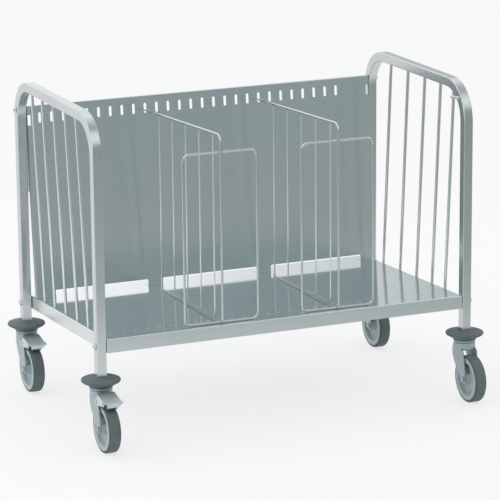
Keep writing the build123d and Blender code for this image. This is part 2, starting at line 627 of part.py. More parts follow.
# Dividers
for side_name, slot_step in DIVIDER_STEPS.items():
    pieces = divider(slot_step * PITCH, DIVIDER_TURNS[side_name])
    for piece_name, piece in zip(("frame_wire", "uprights", "base_wire", "front_loop"), pieces):
        NODES[f"{side_name}_divider_{piece_name}"] = piece

# Castors
axle_bolt, axle_nut = axle()
shared = {
    "bumper": bumper(), "stem": stem(), "swivel_head": swivel_head(), "axle_bolt": axle_bolt,
    "axle_nut": axle_nut, "rim": rim(), "tyre": tyre(),
}
brake = {
    "brake_pedal": pedal(), "brake_shoe": brake_shoe(),
    "brake_pivot_pin": headed_pin(PIVOT_RADIUS, 5.0, PIVOT_Y, PIVOT_Z),
    "brake_shoe_pin": headed_pin(SHOE_PIN_RADIUS, 4.0, SHOE_PIN_Y, SHOE_PIN_Z),
}
forks = {True: fork(True), False: fork(False)}
for place_name, (castor_x, castor_y) in CASTORS.items():
    has_brake = place_name in BRAKED_CASTORS
    pieces = dict(shared, fork=forks[has_brake])
    if has_brake:
        pieces.update(brake)
    for piece_name, piece in pieces.items():
        NODES[f"{place_name}_{piece_name}"] = Pos(castor_x, castor_y, 0) * piece

os.makedirs("parts", exist_ok=True)
for node_name, shape in NODES.items():
    solid = Compound(children=shape) if isinstance(shape, list) else shape
    export_step(solid, os.path.join("parts", f"{node_name}.step"))
print(len(NODES), "nodes")
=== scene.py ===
from math import cos, pi, sin

import bmesh
import bpy
from bpy.props import FloatProperty, FloatVectorProperty, IntProperty, PointerProperty
from mathutils import Matrix, Vector


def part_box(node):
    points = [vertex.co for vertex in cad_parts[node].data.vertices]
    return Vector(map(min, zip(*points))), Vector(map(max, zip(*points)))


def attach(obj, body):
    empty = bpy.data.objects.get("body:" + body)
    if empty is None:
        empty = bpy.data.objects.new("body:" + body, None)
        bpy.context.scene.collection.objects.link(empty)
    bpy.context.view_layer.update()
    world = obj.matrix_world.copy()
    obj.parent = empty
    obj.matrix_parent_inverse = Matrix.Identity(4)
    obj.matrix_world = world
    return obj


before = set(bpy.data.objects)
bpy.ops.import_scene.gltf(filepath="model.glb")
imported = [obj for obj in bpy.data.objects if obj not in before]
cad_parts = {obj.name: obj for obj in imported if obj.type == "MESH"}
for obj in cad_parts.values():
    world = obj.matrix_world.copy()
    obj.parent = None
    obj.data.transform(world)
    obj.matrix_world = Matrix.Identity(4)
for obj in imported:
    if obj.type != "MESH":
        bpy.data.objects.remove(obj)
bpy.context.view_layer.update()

bl_info = {
    "name": "Plate trolley dressing",
    "version": (1, 0, 0),
    "blender": (4, 5, 0),
    "location": "View3D > Sidebar > Trolley",
    "description": "Finishes, weld beads and a studio stage for a plate transport trolley",
    "category": "Object",
}

CASTORS = ("front_left", "front_right", "rear_left", "rear_right")
BRAKED = ("front_left", "rear_left")
SIDES = ("left", "right")

# How far from a wire's lowest or highest point its end face may reach, in metres
SLANT = 0.0025

# Points of a mesh that are closer than this count as one, in metres
SAME_POINT = 1e-6

# Cells of grain per metre along X, Y and Z
POST_GRAIN = (500.0, 500.0, 6.0)
RAIL_GRAIN = (500.0, 6.0, 500.0)
WIRE_GRAIN = (700.0, 700.0, 12.0)
SHELF_GRAIN = (5.0, 420.0, 420.0)
PANEL_GRAIN = (4.0, 420.0, 420.0)
FASTENER_GRAIN = (300.0, 300.0, 300.0)

# Cells of wiped smears per metre along X, Y and Z
WIPED = (7.0, 7.0, 4.0)
PANEL_WIPED = (13.0, 3.0, 1.2)

# Rows of a bead's mesh, and points around a bead between two wires
COLLAR_ROWS = 5
THROAT_ROWS = 7
THROAT_POINTS = 18

# Where a collar meets its wire, as a share of the wire's radius
COLLAR_SEAT = 0.97

# Half sizes of a bead between two wires, from wire to wire and around, as shares of the wire's radius
THROAT_ACROSS = 0.55
THROAT_AROUND = 0.95

# Unevenness of the beads: size, waves around the bead, and share of the bead's turn
COLLAR_LUMPS = ((0.16, 3.0, 1.0), (0.09, 7.0, 2.0))
THROAT_LUMPS = ((0.10, 2.0, 1.0), (0.07, 5.0, 1.0))

# Turn of the lumps from one bead to the next, in radians
SIDE_TURN = 1.3
FOOT_TURN = 1.7
HEAD_TURN = 0.9
LOOP_TURN = 2.1


def colour_property(name, description, default):
    """A colour that a user may change."""
    return FloatVectorProperty(
        name=name, description=description, default=default, min=0.0, max=1.0, subtype="COLOR")


def share_property(name, description, default):
    """A share from 0 to 1 that a user may change."""
    return FloatProperty(
        name=name, description=description, default=default, min=0.0, max=1.0, subtype="FACTOR")


def length_property(name, description, default, least=0.0, digits=4):
    """A length in metres that a user may change."""
    return FloatProperty(
        name=name, description=description, default=default, min=least, unit="LENGTH", precision=digits)


def angle_property(name, description, default):
    """An angle in radians that a user may change."""
    return FloatProperty(name=name, description=description, default=default, subtype="ANGLE")


def place_property(name, description, default):
    """A place in metres that a user may change."""
    return FloatVectorProperty(
        name=name, description=description, default=default, subtype="TRANSLATION", unit="LENGTH")


def ramp_property(name, description, default):
    """The start and the end of a gradual change."""
    return FloatVectorProperty(name=name, description=description, default=default, size=2)


class TROLLEY_PG_steel(bpy.types.PropertyGroup):
    """Finishes of the tubes, sheets, wires and castor steel."""

    tube_colour: colour_property("Tube", "Satin stainless of the bent end frames", (0.61, 0.648, 0.655))
    tube_roughness: share_property("Tube roughness", "Blur of the tube's reflections", 0.24)
    bend_ramp: ramp_property("Bend", "Heights between which the tube's grain turns level", (0.735, 0.815))
    shelf_colour: colour_property("Shelf", "Bright stainless of the shelf", (0.72, 0.765, 0.77))
    shelf_roughness: share_property("Shelf roughness", "Blur of the shelf's reflections", 0.085)
    lip_roughness: share_property("Lip roughness", "Blur of the reflections in folded lips", 0.25)
    panel_colour: colour_property("Back panel", "Bright stainless of the back panel", (0.64, 0.708, 0.717))
    panel_roughness: share_property("Panel roughness", "Blur of the panel's reflections", 0.18)
    wire_colour: colour_property("Side wires", "Polished round wire of the end frames", (0.72, 0.75, 0.755))
    wire_roughness: share_property("Wire roughness", "Blur of the wire's reflections", 0.08)
    divider_colour: colour_property("Dividers", "Round wire of the two dividers", (0.61, 0.65, 0.658))
    # Painted highlight: the uprights are the same steel as the rest of the divider, painted brighter so their
    # thin highlights show
    upright_highlight_colour: colour_property("Divider uprights", "Thin drawn wire of the dividers", (0.78, 0.83, 0.84))
    fastener_colour: colour_property("Bolts and nuts", "Bright steel of bolts and nuts", (0.64, 0.667, 0.672))
    fastener_roughness: share_property("Bolt roughness", "Blur of the reflections in bolts and nuts", 0.16)
    zinc_colour: colour_property(
        "Zinc", "Dulled zinc plating of forks, heads and axles", (0.445, 0.512, 0.532))
    pedal_colour: colour_property("Pedals", "Paler zinc plating of pedals and pins", (0.66, 0.735, 0.755))
    zinc_roughness: share_property("Zinc roughness", "Blur of the plating's reflections", 0.46)
    zinc_metal: share_property("Zinc metal", "Share of metal in the dulled plating", 0.58)
    grain_depth: length_property("Grain depth", "Height of the brushed grain", 0.00004, digits=6)


class TROLLEY_PG_rubber(bpy.types.PropertyGroup):
    """Finishes of the bumpers, tyres, rims and brake shoes."""

    bumper_colour: colour_property("Bumper", "Dark grey bumper rubber", (0.12, 0.153, 0.165))
    tyre_colour: colour_property("Tyre", "Grey tyre rubber", (0.085, 0.116, 0.121))
    rim_colour: colour_property("Rim", "Light grey moulded wheel centre", (0.44, 0.515, 0.535))
    shoe_colour: colour_property("Brake shoe", "Dark grey brake rubber", (0.07, 0.078, 0.08))
    dust_colour: colour_property("Dust", "Pale dust on upward faces and treads", (0.32, 0.345, 0.345))


class TROLLEY_PG_welds(bpy.types.PropertyGroup):
    """Sizes of the small weld beads where wires meet."""

    flare: length_property("Flare", "How far a bead spreads beyond its wire", 0.0019)
    height: length_property("Height", "How far a bead climbs its wire", 0.0032)
    side_radius: length_property("Side wire radius", "Radius of the end frames' wires", 0.004)
    upright_radius: length_property("Upright radius", "Radius of a divider's thin uprights", 0.002)
    loop_radius: length_property("Loop radius", "Radius of a divider's loop and frame wire", 0.003)
    segments: IntProperty(name="Segments", description="Points around a bead", default=20, min=8, max=64)
    colour: colour_property("Weld", "Heat-tinted bead metal", (0.42, 0.41, 0.385))


class TROLLEY_PG_stage(bpy.types.PropertyGroup):
    """Floor, light and camera."""

    floor_half: length_property("Floor half", "Half the side of the floor", 20.0)
    floor_colour: colour_property("Floor", "Pale floor around and behind the trolley", (0.99, 0.99, 0.99))
    # Painted shade: the floor's own colour darkens at the edge of the light, beyond it, and on the right,
    # where less light falls
    floor_edge_shade_colour: colour_property(
        "Floor edge", "Floor at the edge of the light, in front", (0.60, 0.63, 0.635))
    floor_far_shade_colour: colour_property("Far floor", "Floor beyond the light", (0.43, 0.455, 0.46))
    floor_glow: share_property("Floor glow", "Share of the floor's own paleness that shadows leave", 0.7)
    front_turn: angle_property(
        "Front turn", "Where the floor's edge of light lies, from +X towards -Y", 1.167)
    front_ramp: ramp_property("Front edge", "Metres over which the floor leaves the light", (0.98, 1.25))
    far_ramp: ramp_property("Far front", "Metres over which the front fades to the far floor", (1.2, 4.0))
    near_turn: angle_property("Near turn", "Middle of the unlit front, from +X towards -Y", 1.974)
    near_ramp: ramp_property("Near edge", "Metres over which the unlit front begins", (1.5, 2.6))
    right_turn: angle_property(
        "Right turn", "Where the floor gets darker on the right, from +X towards -Y", 0.404)
    right_ramp: ramp_property("Right edge", "Metres over which the right gets darker", (1.3, 2.1))
    dome_colour: colour_property("Dome", "Soft light of the lit walls", (1.0, 1.0, 1.0))
    dome_strength: FloatProperty(
        name="Dome strength", description="Brightness of the dome", default=1.15, min=0.0)
    dome_top_colour: colour_property("Dome top", "Open ceiling above the soft light", (0.30, 0.32, 0.325))
    ceiling_ramp: ramp_property("Ceiling edge", "Upward share of a direction at the ceiling", (0.78, 0.92))
    dome_dim_colour: colour_property(
        "Dim wall", "Low unlit wall of the studio, right and near", (0.33, 0.375, 0.38))
    dim_wall_turn: angle_property("Dim wall turn", "Middle of the unlit wall, from +X towards -Y", 0.349)
    dim_wall_ramp: ramp_property("Dim wall edge", "Share towards the unlit wall at its edge", (-0.06, 0.20))
    behind_ramp: ramp_property("Near wall edge", "Share towards the near wall at its edge", (0.45, 0.85))
    wall_top_ramp: ramp_property("Dim wall top", "Upward share at the unlit wall's top", (0.36, 0.58))
    lamp_power: FloatProperty(
        name="Lamp power", description="Power of the overhead soft box", default=12.0, min=0.0, unit="POWER")
    lamp_size: length_property("Lamp size", "Side of the soft box", 2.6, least=0.1)
    lamp_place: place_property("Lamp place", "Where the soft box hangs", (-0.7, 0.3, 3.2))
    lamp_aim: place_property("Lamp aim", "What the soft box points at", (0.0, 0.0, 0.5))
    camera_place: place_property("Camera place", "Where the camera stands", (-2.827, -6.65065, 2.2323))
    camera_yaw: angle_property("Yaw", "Camera turn from straight on", 0.403520)
    camera_drop: angle_property("Drop", "Camera angle below level", 0.248709)
    camera_roll: angle_property("Roll", "Camera roll", -0.008727)
    camera_lens: FloatProperty(name="Lens", description="Focal length in millimetres", default=204.2, min=1.0)
    camera_shift: FloatProperty(name="Shift", description="Sideways shift of the frame", default=-0.002)


GROUPS = {
    "trolley_steel": TROLLEY_PG_steel,
    "trolley_rubber": TROLLEY_PG_rubber,
    "trolley_welds": TROLLEY_PG_welds,
    "trolley_stage": TROLLEY_PG_stage,
}


def node_object(name):
    """The object of a solid, or an error that names it."""
    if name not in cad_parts:
        raise RuntimeError(f"the frame has no node named {name}")
    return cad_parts[name]


def dress(names, material):
    """Give each named solid one finish."""
    for name in names:
        solid = node_object(name)
        if not solid.material_slots:
            solid.data.materials.append(material)
        for slot in solid.material_slots:
            slot.material = material


class Nodes:
    """A node tree being put together."""

    def __init__(self, tree):
        self.tree = tree

    def node(self, kind, settings=None, **inputs):
        """A new node; inputs are values, or sockets to link from."""
        made = self.tree.nodes.new(kind)
        for key, value in (settings or {}).items():
            setattr(made, key, value)
        for key, value in inputs.items():
            self.feed(made.inputs[key.replace("_", " ")], value)
        return made

    def feed(self, socket, value):
        """Set an input, or link it where the value is another node's output."""
        if isinstance(value, bpy.types.NodeSocket):
            self.tree.links.new(value, socket)
        else:
            socket.default_value = value

    def place(self, kind="Object"):
        """Metres from the trolley's origin; Generated is 0 to 1 over a solid's box, or a dome direction."""
        return self.node("ShaderNodeTexCoord").outputs[kind]

    def noise(self, place, stretch, detail=4.0, rough=0.6, warp=0.0):
        """Noise whose grain is stretched by the three scales, in cells per metre."""
        mapped = self.node("ShaderNodeMapping", Vector=place, Scale=stretch)
        made = self.node(
            "ShaderNodeTexNoise", Vector=mapped.outputs["Vector"], Scale=1.0, Detail=detail, Roughness=rough,
            Distortion=warp)
        return made.outputs["Fac"]

    def spread(self, value, low, high, start=0.25, end=0.75, smooth=False):
        """A value carried from one range to another, held at its ends."""
        settings = {"interpolation_type": "SMOOTHSTEP" if smooth else "LINEAR"}
        made = self.node("ShaderNodeMapRange", settings, Value=value)
        for key, number in (("From Min", start), ("From Max", end), ("To Min", low), ("To Max", high)):
            made.inputs[key].default_value = number
        return made.outputs["Result"]

    def sum(self, kind, a, b):
        """Two values joined by one sum."""
        made = self.node("ShaderNodeMath", {"operation": kind})
        self.feed(made.inputs[0], a)
        self.feed(made.inputs[1], b)
        return made.outputs["Value"]

    def mix(self, share, a, b):
        """Two colours mixed by a share."""
        made = self.node("ShaderNodeMix", {"data_type": "RGBA"})
        self.feed(made.inputs[0], share)
        for socket, value in ((made.inputs[6], a), (made.inputs[7], b)):
            self.feed(socket, value if isinstance(value, bpy.types.NodeSocket) else (*value, 1.0))
        return made.outputs[2]

    def blend(self, share, a, b):
        """Two numbers mixed by a share."""
        made = self.node("ShaderNodeMix", {"data_type": "FLOAT"})
        for socket, value in ((made.inputs[0], share), (made.inputs[2], a), (made.inputs[3], b)):
            self.feed(socket, value)
        return made.outputs[0]

    def axis(self, place, name):
        """One coordinate of a place."""
        return self.node("ShaderNodeSeparateXYZ", Vector=place).outputs[name]

    def vector(self, kind, a, b=None):
        """One or two vectors put through one sum."""
        made = self.node("ShaderNodeVectorMath", {"operation": kind})
        self.feed(made.inputs[0], a)
        if b is not None:
            self.feed(made.inputs[1], b)
        return made.outputs

    def along(self, place, direction):
        """How far a place lies along a direction."""
        return self.vector("DOT_PRODUCT", place, direction)["Value"]


class Finish(Nodes):
    """A material being put together, with its surface shader."""

    def __init__(self, name):
        self.material = bpy.data.materials.new(name)
        self.material.use_nodes = True
        super().__init__(self.material.node_tree)
        self.surface = self.tree.nodes["Principled BSDF"]

    def set(self, **values):
        """Set or link inputs of the surface shader by name."""
        for key, value in values.items():
            self.feed(self.surface.inputs[key.replace("_", " ")], value)

    def bump(self, height, depth):
        """Surface relief of a given depth in metres."""
        made = self.node("ShaderNodeBump", Height=height, Distance=depth, Strength=1.0)
        self.set(Normal=made.outputs["Normal"])

    def upward(self):
        """How far a face looks up, from -1 to 1."""
        return self.axis(self.node("ShaderNodeNewGeometry").outputs["Normal"], "Z")

    def lying(self, start, end):
        """A share from 0 on upright faces to 1 on level ones."""
        return self.spread(self.sum("ABSOLUTE", self.upward(), 0.0), 0.0, 1.0, start, end, smooth=True)

    def tread(self, most, start, end):
        """A share that rises from 0 towards a wheel's rolling face, with the axle roughly along X."""
        middle, scale = (0.5, 0.5, 0.5), (0.0, 2.0, 2.0)
        own = self.vector("SUBTRACT", self.place("Generated"), middle)["Vector"]
        flat = self.vector("MULTIPLY", own, scale)["Vector"]
        reach = self.vector("LENGTH", flat)["Value"]
        return self.spread(reach, 0.0, most, start, end, smooth=True)


def heading(turn):
    """A level direction, turned from +X towards -Y."""
    return cos(turn), -sin(turn), 0.0


def shade(colour, factor):
    """A colour made lighter or darker."""
    return tuple(min(1.0, channel * factor) for channel in colour)


def tinted(colour, factors):
    """A colour with each channel made lighter or darker on its own."""
    return tuple(channel * factor for channel, factor in zip(colour, factors))


def even(cells):
    """The same scale along all three axes."""
    return cells, cells, cells


def steel(name, colour, roughness, stretch, depth, smear=0.05, wiped=WIPED, bend=None, upright=None):
    """Brushed stainless: grain along the axis with the fewest cells, wiped smears and colour drift.

    bend is the heights between which the grain turns along the rail, upright the blur of upright faces.
    """
    made = Finish(name)
    place = made.place()
    grain = made.noise(place, stretch, detail=6.0, rough=0.7)
    if bend is not None:
        turned = made.noise(place, RAIL_GRAIN, detail=6.0, rough=0.7)
        share = made.spread(made.axis(place, "Z"), 0.0, 1.0, *bend, smooth=True)
        grain = made.blend(share, grain, turned)
    smears = made.noise(place, wiped, detail=5.0, rough=0.55, warp=0.8)
    drift = made.mix(made.spread(grain, 0.0, 1.0), shade(colour, 0.95), shade(colour, 1.04))
    tint = made.mix(made.spread(smears, 0.0, 0.5), drift, shade(colour, 0.93))
    grain_blur = made.spread(grain, roughness * 0.85, roughness * 1.2)
    blur = made.sum("ADD", grain_blur, made.spread(smears, -smear / 2, smear))
    if upright is not None:
        blur = made.blend(made.lying(0.6, 0.9), upright, blur)
    made.set(Base_Color=tint, Metallic=1.0, Roughness=blur)
    made.bump(grain, depth)
    return made.material


def zinc(name, colour, roughness, metal):
    """Dulled zinc plating: cloudy and finely pitted, with warm stains in patches and painted shade that
    darkens its hollows.
    """
    relief, shade_reach = 0.00006, 0.04
    warm, darkening = tinted(colour, (0.92, 0.90, 0.84)), shade(colour, 0.3)
    made = Finish(name)
    place = made.place()
    clouds = made.noise(place, even(60.0), detail=5.0, rough=0.6, warp=0.5)
    pits = made.noise(place, even(900.0), detail=2.0)
    stain = made.noise(place, even(22.0), detail=3.0)
    cloudy = made.mix(made.spread(clouds, 0.0, 1.0), shade(colour, 0.88), shade(colour, 1.05))
    stained = made.mix(made.spread(stain, 0.0, 0.55, 0.5, 0.8), cloudy, warm)
    # Painted shade: ambient occlusion turns the plating much darker in hollows, in recesses and between parts
    open_air = made.node("ShaderNodeAmbientOcclusion", Distance=shade_reach).outputs["AO"]
    hollow_shade = made.spread(open_air, 0.8, 0.0, 0.15, 0.65, smooth=True)
    made.set(Base_Color=made.mix(hollow_shade, stained, darkening), Metallic=metal)
    cloud_blur = made.spread(clouds, roughness - 0.06, roughness + 0.08)
    made.set(Roughness=made.sum("ADD", cloud_blur, made.spread(pits, -0.03, 0.03)))
    made.bump(made.sum("ADD", clouds, made.sum("MULTIPLY", pits, 0.4)), relief)
    return made.material


def rubber(name, colour, dust, worn=False):
    """Moulded rubber: fine tooth, dust on what faces up, and a scuffed tread where the piece rolls."""
    relief = 0.00012
    made = Finish(name)
    place = made.place()
    tooth = made.noise(place, even(1400.0), detail=3.0)
    patches = made.noise(place, even(26.0), detail=5.0, rough=0.65, warp=0.6)
    settled = made.spread(made.upward(), 0.0, 0.16, 0.2, 1.0)
    dusty = made.sum("MULTIPLY", settled, made.spread(patches, 0.3, 1.0))
    if worn:
        scuffed = made.sum("MULTIPLY", made.tread(0.3, 0.965, 1.0), made.spread(patches, 0.35, 1.0))
        dusty = made.sum("ADD", dusty, scuffed)
    body = made.mix(made.spread(patches, 0.0, 1.0), shade(colour, 0.88), shade(colour, 1.12))
    made.set(Base_Color=made.mix(dusty, body, dust), Roughness=made.spread(patches, 0.52, 0.68))
    made.set(Specular_IOR_Level=0.38)
    made.bump(made.sum("ADD", tooth, made.sum("MULTIPLY", patches, 0.5)), relief)
    return made.material


def moulded_plastic(name, colour):
    """Moulded wheel centre: even colour, light flow marks and small patches of grime."""
    relief = 0.00005
    made = Finish(name)
    place = made.place()
    flow = made.noise(place, even(40.0), detail=4.0, warp=1.2)
    tooth = made.noise(place, even(1800.0), detail=2.0)
    darkening = made.noise(place, even(90.0), detail=5.0, rough=0.7)
    body = made.mix(made.spread(flow, 0.0, 1.0), shade(colour, 0.95), shade(colour, 1.04))
    made.set(Base_Color=made.mix(made.spread(darkening, 0.0, 0.4, 0.52, 0.8), body, shade(colour, 0.62)))
    made.set(Roughness=made.spread(flow, 0.36, 0.5), Specular_IOR_Level=0.45)
    made.bump(made.sum("ADD", tooth, flow), relief)
    return made.material


def weld_metal(name, colour):
    """Bead metal: rippled, with a straw to blue heat tint."""
    relief = 0.0002
    straw, blue = tinted(colour, (1.1, 1.0, 0.78)), tinted(colour, (0.75, 0.85, 1.05))
    made = Finish(name)
    place = made.place()
    ripple = made.noise(place, even(700.0), detail=3.0)
    heat = made.noise(place, even(160.0), detail=2.0)
    made.set(Base_Color=made.mix(made.spread(heat, 0.0, 1.0, 0.35, 0.65), straw, blue), Metallic=1.0)
    made.set(Roughness=made.spread(ripple, 0.26, 0.44))
    made.bump(ripple, relief)
    return made.material


def wire_ends(name):
    """Centre of the lower and upper end of each separate wire of a node."""
    work = bmesh.new()
    work.from_mesh(node_object(name).data)
    bmesh.ops.remove_doubles(work, verts=work.verts[:], dist=SAME_POINT)
    unseen = set(work.verts)
    ends = []
    while unseen:
        wire, queue = [], [unseen.pop()]
        while queue:
            point = queue.pop()
            wire.append(point.co.copy())
            for edge in point.link_edges:
                other = edge.other_vert(point)
                if other in unseen:
                    unseen.remove(other)
                    queue.append(other)
        low, high = min(point.z for point in wire), max(point.z for point in wire)
        pair = []
        for level in (low, high):
            near = [point for point in wire if abs(point.z - level) < SLANT]
            pair.append(Vector([(min(line) + max(line)) / 2 for line in zip(*near)]))
        ends.append(tuple(pair))
    work.free()
    return sorted(ends, key=lambda pair: pair[0].y)


def around(count):
    """Angles of points spaced evenly around a ring."""
    return [2.0 * pi * step / count for step in range(count)]


def lump(waves, angle, turn):
    """Unevenness of a bead at one angle, about 1."""
    return sum((size * sin(count * angle + share * turn) for size, count, share in waves), 1.0)


def skin(work, rings):
    """Close a stack of rings of points into one lump."""
    count = len(rings[0])
    for lower, upper in zip(rings, rings[1:]):
        for step in range(count):
            after = (step + 1) % count
            work.faces.new((lower[step], lower[after], upper[after], upper[step]))
    work.faces.new(list(reversed(rings[0])))
    work.faces.new(rings[-1])


def bead_collar(work, foot, axis, wire, sizes, turn):
    """A lumpy concave fillet around a wire's end, from the face it is welded to up along the wire."""
    tilt = Vector((0.0, 0.0, 1.0)).rotation_difference(axis).to_matrix()
    rings = []
    for row in range(COLLAR_ROWS + 1):
        climb = row / COLLAR_ROWS
        ring = []
        for angle in around(sizes.segments):
            uneven = lump(COLLAR_LUMPS, angle, turn)
            radius = wire * COLLAR_SEAT + sizes.flare * uneven * (1.0 - climb) ** 2
            local = Vector((radius * cos(angle), radius * sin(angle), sizes.height * climb * uneven))
            ring.append(work.verts.new(foot + tilt @ local))
        rings.append(ring)
    skin(work, rings)


def bead_between(work, middle, across, up, wire, turn):
    """A lumpy bead in the throat where two crossing wires touch, flattened from wire to wire."""
    side = across.cross(up)
    rings = []
    for row in range(1, THROAT_ROWS):
        tilt = pi * row / THROAT_ROWS
        ring = []
        for angle in around(THROAT_POINTS):
            radius = wire * THROAT_AROUND * lump(THROAT_LUMPS, angle, turn) * sin(tilt)
            local = across * (wire * THROAT_ACROSS * cos(tilt))
            local += up * (radius * cos(angle))
            local += side * (radius * sin(angle))
            ring.append(work.verts.new(middle + local))
        rings.append(ring)
    skin(work, rings)


def bead_piece(name, work, material, body):
    """Turn gathered beads into one smooth piece that moves with a body."""
    bmesh.ops.recalc_face_normals(work, faces=work.faces[:])
    mesh = bpy.data.meshes.new(name)
    work.to_mesh(mesh)
    work.free()
    mesh.polygons.foreach_set("use_smooth", [True] * len(mesh.polygons))
    piece = bpy.data.objects.new(name, mesh)
    bpy.context.scene.collection.objects.link(piece)
    mesh.materials.append(material)
    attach(piece, body)


class TROLLEY_OT_end_frames(bpy.types.Operator):
    """Finish both end frames in satin stainless, brushed along the tube"""

    bl_idname = "trolley.end_frames"
    bl_label = "End frames"

    def execute(self, context):
        look = context.scene.trolley_steel
        material = steel("satin tube", look.tube_colour, look.tube_roughness, POST_GRAIN, look.grain_depth,
                         smear=0.08, bend=look.bend_ramp)
        dress([f"{side}_end_frame" for side in SIDES], material)
        return {"FINISHED"}


class TROLLEY_OT_wires(bpy.types.Operator):
    """Finish the side wires, the tie wire and both dividers in polished wire"""

    bl_idname = "trolley.wires"
    bl_label = "Wires and dividers"

    def execute(self, context):
        look = context.scene.trolley_steel
        depth = look.grain_depth / 2
        material = steel("polished wire", look.wire_colour, look.wire_roughness, WIRE_GRAIN, depth)
        dress([f"{side}_side_wires" for side in SIDES] + ["corner_tie_wire"], material)
        material = steel("divider wire", look.divider_colour, look.wire_roughness, WIRE_GRAIN, depth)
        pieces = ("frame_wire", "base_wire", "front_loop")
        dress([f"{side}_divider_{piece}" for side in SIDES for piece in pieces], material)
        # A brighter copy of the divider steel for the thin uprights, as a painted highlight
        material = steel("upright wire", look.upright_highlight_colour, look.wire_roughness, WIRE_GRAIN, depth)
        dress([f"{side}_divider_uprights" for side in SIDES], material)
        return {"FINISHED"}


class TROLLEY_OT_shelf(bpy.types.Operator):
    """Finish the shelf as bright sheet with a faint grain along its length"""

    bl_idname = "trolley.shelf"
    bl_label = "Shelf"

    def execute(self, context):
        look = context.scene.trolley_steel
        depth = look.grain_depth / 4
        material = steel("shelf sheet", look.shelf_colour, look.shelf_roughness, SHELF_GRAIN, depth,
                         smear=0.04, upright=look.lip_roughness)
        dress(["shelf"], material)
        return {"FINISHED"}


class TROLLEY_OT_back_panel(bpy.types.Operator):
    """Finish the back panel as bright sheet with a faint grain along its length"""

    bl_idname = "trolley.back_panel"
    bl_label = "Back panel"

    def execute(self, context):
        look = context.scene.trolley_steel
        depth = look.grain_depth / 4
        material = steel("panel sheet", look.panel_colour, look.panel_roughness, PANEL_GRAIN, depth,
                         smear=0.07, wiped=PANEL_WIPED)
        dress(["back_panel"], material)
        return {"FINISHED"}


class TROLLEY_OT_fasteners(bpy.types.Operator):
    """Finish the frame bolts, the panel's foot bolts and their nuts"""

    bl_idname = "trolley.fasteners"
    bl_label = "Bolts and nuts"

    def execute(self, context):
        look = context.scene.trolley_steel
        material = steel("fastener steel", look.fastener_colour, look.fastener_roughness, FASTENER_GRAIN,
                         look.grain_depth)
        dress(["frame_bolts", "frame_nuts", "panel_foot_bolts", "panel_foot_nuts"], material)
        return {"FINISHED"}


class TROLLEY_OT_castor_steel(bpy.types.Operator):
    """Finish stems, swivel heads, forks, axles, pedals and pins in dulled zinc"""

    bl_idname = "trolley.castor_steel"
    bl_label = "Castor steel"

    def execute(self, context):
        look = context.scene.trolley_steel
        material = zinc("dulled zinc", look.zinc_colour, look.zinc_roughness, look.zinc_metal)
        pieces = ("stem", "swivel_head", "fork", "axle_bolt", "axle_nut")
        dress([f"{castor}_{piece}" for castor in CASTORS for piece in pieces], material)
        material = zinc("pale zinc", look.pedal_colour, look.zinc_roughness, look.zinc_metal)
        pieces = ("brake_pedal", "brake_pivot_pin", "brake_shoe_pin")
        dress([f"{castor}_{piece}" for castor in BRAKED for piece in pieces], material)
        return {"FINISHED"}


class TROLLEY_OT_bumpers(bpy.types.Operator):
    """Finish the four round bumpers in dark grey rubber"""

    bl_idname = "trolley.bumpers"
    bl_label = "Bumpers"

    def execute(self, context):
        look = context.scene.trolley_rubber
        material = rubber("bumper rubber", look.bumper_colour, look.dust_colour)
        dress([f"{castor}_bumper" for castor in CASTORS], material)
        return {"FINISHED"}


class TROLLEY_OT_wheels(bpy.types.Operator):
    """Finish the wheels: grey rubber tyres and light grey moulded rims"""

    bl_idname = "trolley.wheels"
    bl_label = "Wheels"

    def execute(self, context):
        look = context.scene.trolley_rubber
        material = rubber("tyre rubber", look.tyre_colour, look.dust_colour, worn=True)
        dress([f"{castor}_tyre" for castor in CASTORS], material)
        material = moulded_plastic("rim plastic", look.rim_colour)
        dress([f"{castor}_rim" for castor in CASTORS], material)
        return {"FINISHED"}


class TROLLEY_OT_brake_shoes(bpy.types.Operator):
    """Finish the brake shoes in dark grey rubber"""

    bl_idname = "trolley.brake_shoes"
    bl_label = "Brake shoes"

    def execute(self, context):
        look = context.scene.trolley_rubber
        material = rubber("brake rubber", look.shoe_colour, look.dust_colour)
        dress([f"{castor}_brake_shoe" for castor in BRAKED], material)
        return {"FINISHED"}


class TROLLEY_OT_welds(bpy.types.Operator):
    """Add the small weld beads where wires meet tubes and other wires"""

    bl_idname = "trolley.welds"
    bl_label = "Weld beads"

    def execute(self, context):
        sizes = context.scene.trolley_welds
        material = weld_metal("weld bead", sizes.colour)
        work = bmesh.new()
        for side in SIDES:
            for number, (low, high) in enumerate(wire_ends(f"{side}_side_wires")):
                run = (low - high).normalized()
                bead_collar(work, high, run, sizes.side_radius, sizes, SIDE_TURN * number)
        bead_piece("side_wire_welds", work, material, "trolley_frame")
        for side in SIDES:
            work = bmesh.new()
            for number, (low, high) in enumerate(wire_ends(f"{side}_divider_uprights")):
                run = (high - low).normalized()
                bead_collar(work, low, run, sizes.upright_radius, sizes, FOOT_TURN * number)
                bead_collar(work, high, -run, sizes.upright_radius, sizes, HEAD_TURN * number)
            self.loop_beads(work, side, sizes.loop_radius)
            bead_piece(f"{side}_divider_welds", work, material, f"{side}_divider")
        return {"FINISHED"}

    def loop_beads(self, work, side, wire):
        """Beads where the front upright crosses the loop's upper and lower bars."""
        low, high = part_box(f"{side}_divider_front_loop")
        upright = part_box(f"{side}_divider_frame_wire")
        middle = (low + high) / 2
        upright_back = upright[0].y + 2 * wire
        loop_front = middle.y - wire
        across, up = Vector((0.0, 1.0, 0.0)), Vector((0.0, 0.0, 1.0))
        for number, level in enumerate((low.z + wire, high.z - wire)):
            place = Vector((middle.x, (upright_back + loop_front) / 2, level))
            bead_between(work, place, across, up, wire, LOOP_TURN * number)


